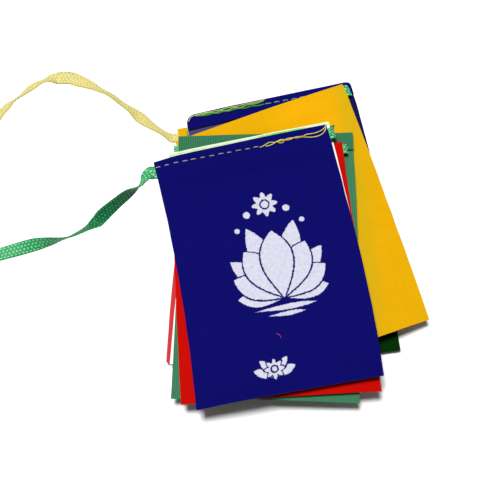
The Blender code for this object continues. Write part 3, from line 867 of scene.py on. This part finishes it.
for row in LINK_ROWS:
    link = dict(zip(LINK_COLUMNS, row))
    upper, side, toward = link["upper"], link["side"], link["toward"]
    start, out = hem_middle(upper + (toward > 0), side, link["inset"])
    end, other_out = hem_middle(upper + 1, side, link["inset"])
    reach = link["reach"] * MM
    leaving = start + out * LINK_STRAIGHT
    if toward:
        other_out = out
        tip = leaving + out * reach
        faces = []
        for part in (-0.5, 0, 0.5):
            at = tip + Vector((-out.y, out.x, 0)) * link["width"] * part * MM
            faces.append(-toward * height_at(cloth_trees[upper + (toward < 0)], at, toward < 0))
        tip.z = -toward * (max(faces) + RIBBON_THICK / 2)
        slope = (out + Vector((0, 0, toward))).normalized()
        handles = (leaving, leaving + out * TUCK_HANDLE, tip - slope * TUCK_HANDLE, tip)
    else:
        arriving = end + other_out * LINK_STRAIGHT
        far = reach * 4 / 3
        handles = (leaving, leaving + out * far, arriving + other_out * far, arriving)
    points = [start - out * LINK_INSIDE]
    for i in range(LINK_STEPS + 1):
        t = i / LINK_STEPS
        weights = ((1 - t) ** 3, 3 * t * (1 - t) ** 2, 3 * t**2 * (1 - t), t**3)
        place = sum((h * w for h, w in zip(handles, weights)), Vector())
        place.z += link["arch"] * MM * 4 * t * (1 - t)
        points.append(place)
    if not toward:
        points.append(end - other_out * LINK_INSIDE)
    wide = (out + other_out).cross(Vector((0, 0, 1))).normalized()
    rings = even_rings(points, [wide] * len(points), RING_STEP)
    name = link["name"].replace("ribbon", "braid")
    fold = braid_ribbon(name, rings, mint if link["slot"] == "mint" else lime, link["width"] * MM)
    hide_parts(link["name"])


# The hand stitching. Thin cotton thread, dull yellow or green, holds the hems with running stitches
# about 3 mm apart, and shows on the top flag and the sixth. At the top flag's right end and along
# the sixth flag's fold its loose ends lie on the cloth.
THREAD = 0.16 * MM
THREAD_SIDES = 7


def thread_finish(name, colour):
    """A matte cotton thread, a little uneven in its colour."""
    made, tree, shader = new_material(name, 0.15, 0.75)
    at = put(tree, "TexCoord").outputs["Object"]
    fleck = put(tree, "TexNoise", at, None, 900.0, 2.0)
    shade = sum_of(tree, "MULTIPLY_ADD", fleck.outputs[0], 0.9, 0.55)
    dyed = put(tree, "VectorMath", (*colour,), None, None, shade, operation="SCALE")
    tree.links.new(dyed.outputs[0], shader.inputs["Base Color"])
    return made


def on_cloth(number, across, from_fold, over):
    """A place over a flag's upper side, from its distances along the hem and from the fold."""
    flag = flags[number]
    length = (flag["left_side"] + flag["right_side"]) / 2
    at = spot(flag, across / flag["hem_width"], from_fold / length)
    at.z = height_at(cloth_trees[number], at) + over * MM
    return at


def lay_threads(name, strands, radius, finish):
    """One mesh of round threads, each along the places of a strand, with closed ends."""
    points = []
    faces = []
    sides = THREAD_SIDES
    for strand in strands:
        first = len(points)
        for i, place in enumerate(strand):
            ahead = (strand[min(i + 1, len(strand) - 1)] - strand[max(0, i - 1)]).normalized()
            side = ahead.cross(Vector((0, 0, 1))).normalized()
            rise = side.cross(ahead)
            for k in range(sides):
                turn = math.tau * k / sides
                points.append(place + (side * math.cos(turn) + rise * math.sin(turn)) * radius)
        for i in range(len(strand) - 1):
            for k in range(sides):
                a, b = first + i * sides + k, first + i * sides + (k + 1) % sides
                faces.append((a, a + sides, b + sides, b))
        faces.append(tuple(first + k for k in range(sides)))
        last = first + (len(strand) - 1) * sides
        faces.append(tuple(last + sides - 1 - k for k in range(sides)))
    data = bpy.data.meshes.new(name)
    data.from_pydata(points, [], faces)
    return add_piece(name, data, finish)


# The running stitches, made of the same thread. Each row is a run of them, in millimetres: its
# flag, where it starts and ends along the hem, its distance from the fold at both ends, the length
# of a stitch, the step between them and the thread's radius. A stitch dips into the cloth at both
# of its ends: its profile is shares of its length, and heights over the cloth.
STITCH_COLUMNS = ("flag", "begin", "end", "near", "far", "stitch", "step", "radius", "thread")
STITCH_ROWS = (
    (0, 0.2, 37.2, 2.25, 3.15, 1.65, 3.06, 0.14, "dull"),
    (5, 28.2, 56.0, 2.2, 2.9, 2.1, 3.1, 0.17, "pale_green"),
)
STITCH_PROFILE = ((-0.5, -0.2), (-0.36, 0.06), (-0.15, 0.13), (0.15, 0.13), (0.36, 0.06), (0.5, -0.2))
STITCH_SLANT = 0.12
UNEVEN_PLACE = 0.35
UNEVEN_LENGTH = 0.3
UNEVEN_LINE = 0.15
thread_finishes = {
    "straw": thread_finish("straw_thread", (0.52, 0.47, 0.10)),
    "dull": thread_finish("dull_thread", (0.34, 0.32, 0.16)),
    "olive": thread_finish("olive_thread", (0.34, 0.36, 0.13)),
    "leaf": thread_finish("leaf_thread", (0.13, 0.30, 0.045)),
    "pine": thread_finish("pine_thread", (0.03, 0.17, 0.05)),
    "pale_green": thread_finish("pale_green_thread", (0.13, 0.30, 0.16)),
}
for row in STITCH_ROWS:
    run = dict(zip(STITCH_COLUMNS, row))
    number = run["flag"]
    strands = []
    count = int((run["end"] - run["begin"]) / run["step"])
    for i in range(count):
        seed = Vector((i * 1.7, number * 2.3, 0.4))
        middle = run["begin"] + run["step"] * i + run["stitch"] / 2
        middle += noise.noise(seed) * UNEVEN_PLACE
        long = run["stitch"] * (1 + noise.noise(seed + Vector((5, 0, 0))) * UNEVEN_LENGTH)
        from_fold = run["near"] + (run["far"] - run["near"]) * i / count
        from_fold += noise.noise(seed + Vector((0, 9, 0))) * UNEVEN_LINE
        strand = []
        for part, over in STITCH_PROFILE:
            across = max(0.1, middle + part * long)
            strand.append(on_cloth(number, across, from_fold + part * STITCH_SLANT, over))
        strands.append(strand)
    name = flags[number]["name"].replace("flag", "stitches")
    lay_threads(name, strands, run["radius"] * MM, thread_finishes[run["thread"]])

# The loose thread ends, left long where the sewing stopped. Each strand has its flag, its radius,
# its thread and its points: places along the hem and from the fold, and the height over the cloth.
THREAD_STEPS = 6
LOOSE_THREADS = (
    ("loose_thread_long", 0, THREAD, "straw", (
        (35.6, 3.3, -0.2), (36.8, 3.3, 0.16), (38.2, 2.8, 0.2), (39.6, 2.5, 0.2), (41.4, 2.9, 0.2),
        (43.2, 2.9, 0.45), (44.6, 2.7, 0.4), (46.3, 2.4, 0.2), (48.5, 2.8, 0.2), (50.9, 3.0, 0.25),
        (53.2, 3.6, 0.4), (55.4, 3.7, 0.35), (57.5, 3.2, 0.35), (58.9, 2.0, 0.35), (59.4, 0.9, 0.3),
    )),
    ("loose_thread_short", 0, THREAD, "straw", (
        (37.6, 3.3, -0.2), (39.0, 3.5, 0.2), (40.6, 3.3, 0.5), (42.2, 2.7, 0.6), (43.9, 2.7, 0.3),
        (46.0, 2.9, 0.2), (48.5, 2.6, 0.5), (50.8, 2.8, 0.55), (52.3, 2.3, 0.2), (54.8, 2.4, 0.25),
        (57.0, 2.1, 0.35), (58.6, 1.4, 0.35), (59.5, 0.4, 0.3),
    )),
    ("loose_thread_knot", 0, THREAD * 0.85, "straw", (
        (41.0, 3.1, 0.15), (42.1, 2.7, 0.5), (43.4, 2.5, 0.6), (44.3, 2.8, 0.5), (43.9, 3.4, 0.35),
        (42.8, 3.5, 0.35), (42.2, 3.1, 0.6), (43.0, 2.7, 0.8), (44.8, 2.7, 0.5),
    )),
    ("fold_thread_upper", 5, THREAD * 1.25, "olive", (
        (0.7, 2.4, 0.15), (1.5, 1.3, 0.25), (3.1, 0.7, 0.25), (7.2, 0.65, 0.3), (12.1, 0.9, 0.4),
        (15.2, 0.8, 0.5), (18.3, 0.95, 0.45), (21.6, 0.7, 0.4), (24.4, 0.8, 0.35), (28.6, 0.3, -0.2),
    )),
    ("fold_thread_lower", 5, THREAD * 1.8, "leaf", (
        (3.4, 0.9, 0.15), (5.6, 1.2, 0.3), (8.4, 1.1, 0.4), (10.5, 1.6, 0.25), (12.3, 1.3, 0.4),
        (14.9, 1.7, 0.3), (17.0, 1.3, 0.45), (19.2, 1.7, 0.3), (22.1, 1.3, 0.45), (25.0, 1.4, 0.3),
        (28.0, 0.8, 0.2),
    )),
    ("fold_thread_green", 5, THREAD * 1.7, "pine", (
        (5.2, 1.3, 0.1), (7.4, 1.7, 0.3), (9.8, 1.5, 0.2), (11.4, 2.0, 0.35), (13.2, 1.7, 0.25),
        (15.4, 2.1, 0.35), (18.3, 1.8, 0.25), (21.1, 2.3, 0.35), (23.3, 2.0, 0.25), (25.5, 2.4, 0.3),
        (27.7, 2.2, 0.1),
    )),
)
for name, number, radius, finish, places in LOOSE_THREADS:
    route = [tuple(on_cloth(number, *place) / MM) + (0,) for place in places]
    route = [route[0], *route, route[-1]]
    strand = []
    count = THREAD_STEPS * len(places)
    for i in range(count):
        x, y, z, _ = smooth(route, i / (count - 1))
        strand.append(Vector((x, y, z)) * MM)
    lay_threads(name, [strand], radius, thread_finishes[finish])

# A short bent thread of pink lint, which lies on the top flag.
LINT_RADIUS = 0.07 * MM
lint = thread_finish("pink_lint", (0.55, 0.05, 0.12))
curl = []
for step in range(7):
    sag = 0.3 * math.sin(step * math.pi / 6)
    curl.append(on_cloth(0, 27.9 + 0.22 * step + sag, 67.2 + 0.29 * step - sag, 0.1 + 0.03 * step))
lay_threads("lint_curl", [curl], LINT_RADIUS, lint)


# The stage: a plain pale table top.
bpy.ops.mesh.primitive_plane_add(size=4, location=(0, 0, 0))
table = bpy.context.object
table.name = "table"
pale, _, pale_shader = new_material("pale_table", 0.1, 0.9)
pale_shader.inputs["Base Color"].default_value = (0.80, 0.80, 0.80, 1)
table.data.materials.append(pale)

# Soft studio light: a faint even white surround, which the camera sees as a white backdrop, and a
# strong key light from high up at the back left. It bleaches the table and leaves soft shadows
# under the edges.
FILL = 0.15
world = bpy.data.worlds.new("studio")
bpy.context.scene.world = world
world.use_nodes = True
sky = world.node_tree.nodes["Background"]
sky.inputs["Color"].default_value = (1.0, 1.0, 1.0, 1)
seen = put(world.node_tree, "LightPath").outputs["Is Camera Ray"]
strength = sum_of(world.node_tree, "MULTIPLY_ADD", seen, 1 - FILL, FILL)
world.node_tree.links.new(strength, sky.inputs["Strength"])
key_from = Vector((-0.14, 0.15, 1.0))
bpy.ops.object.light_add(type="SUN", location=key_from)
key = bpy.context.object
key.name = "key_light"
key.data.energy = 4.8
key.data.angle = math.radians(18)
key.rotation_euler = (-key_from).to_track_quat("-Z", "Y").to_euler()
bpy.context.scene.view_settings.view_transform = "Standard"

# The camera looks down at the stack from in front, 20 degrees off the vertical.
bpy.ops.object.camera_add(location=(-0.0134, -0.1346, 0.3651), rotation=(math.radians(20), 0, 0))
camera = bpy.context.object
camera.data.sensor_width = 36
camera.data.lens = 81.9
bpy.context.scene.camera = camera
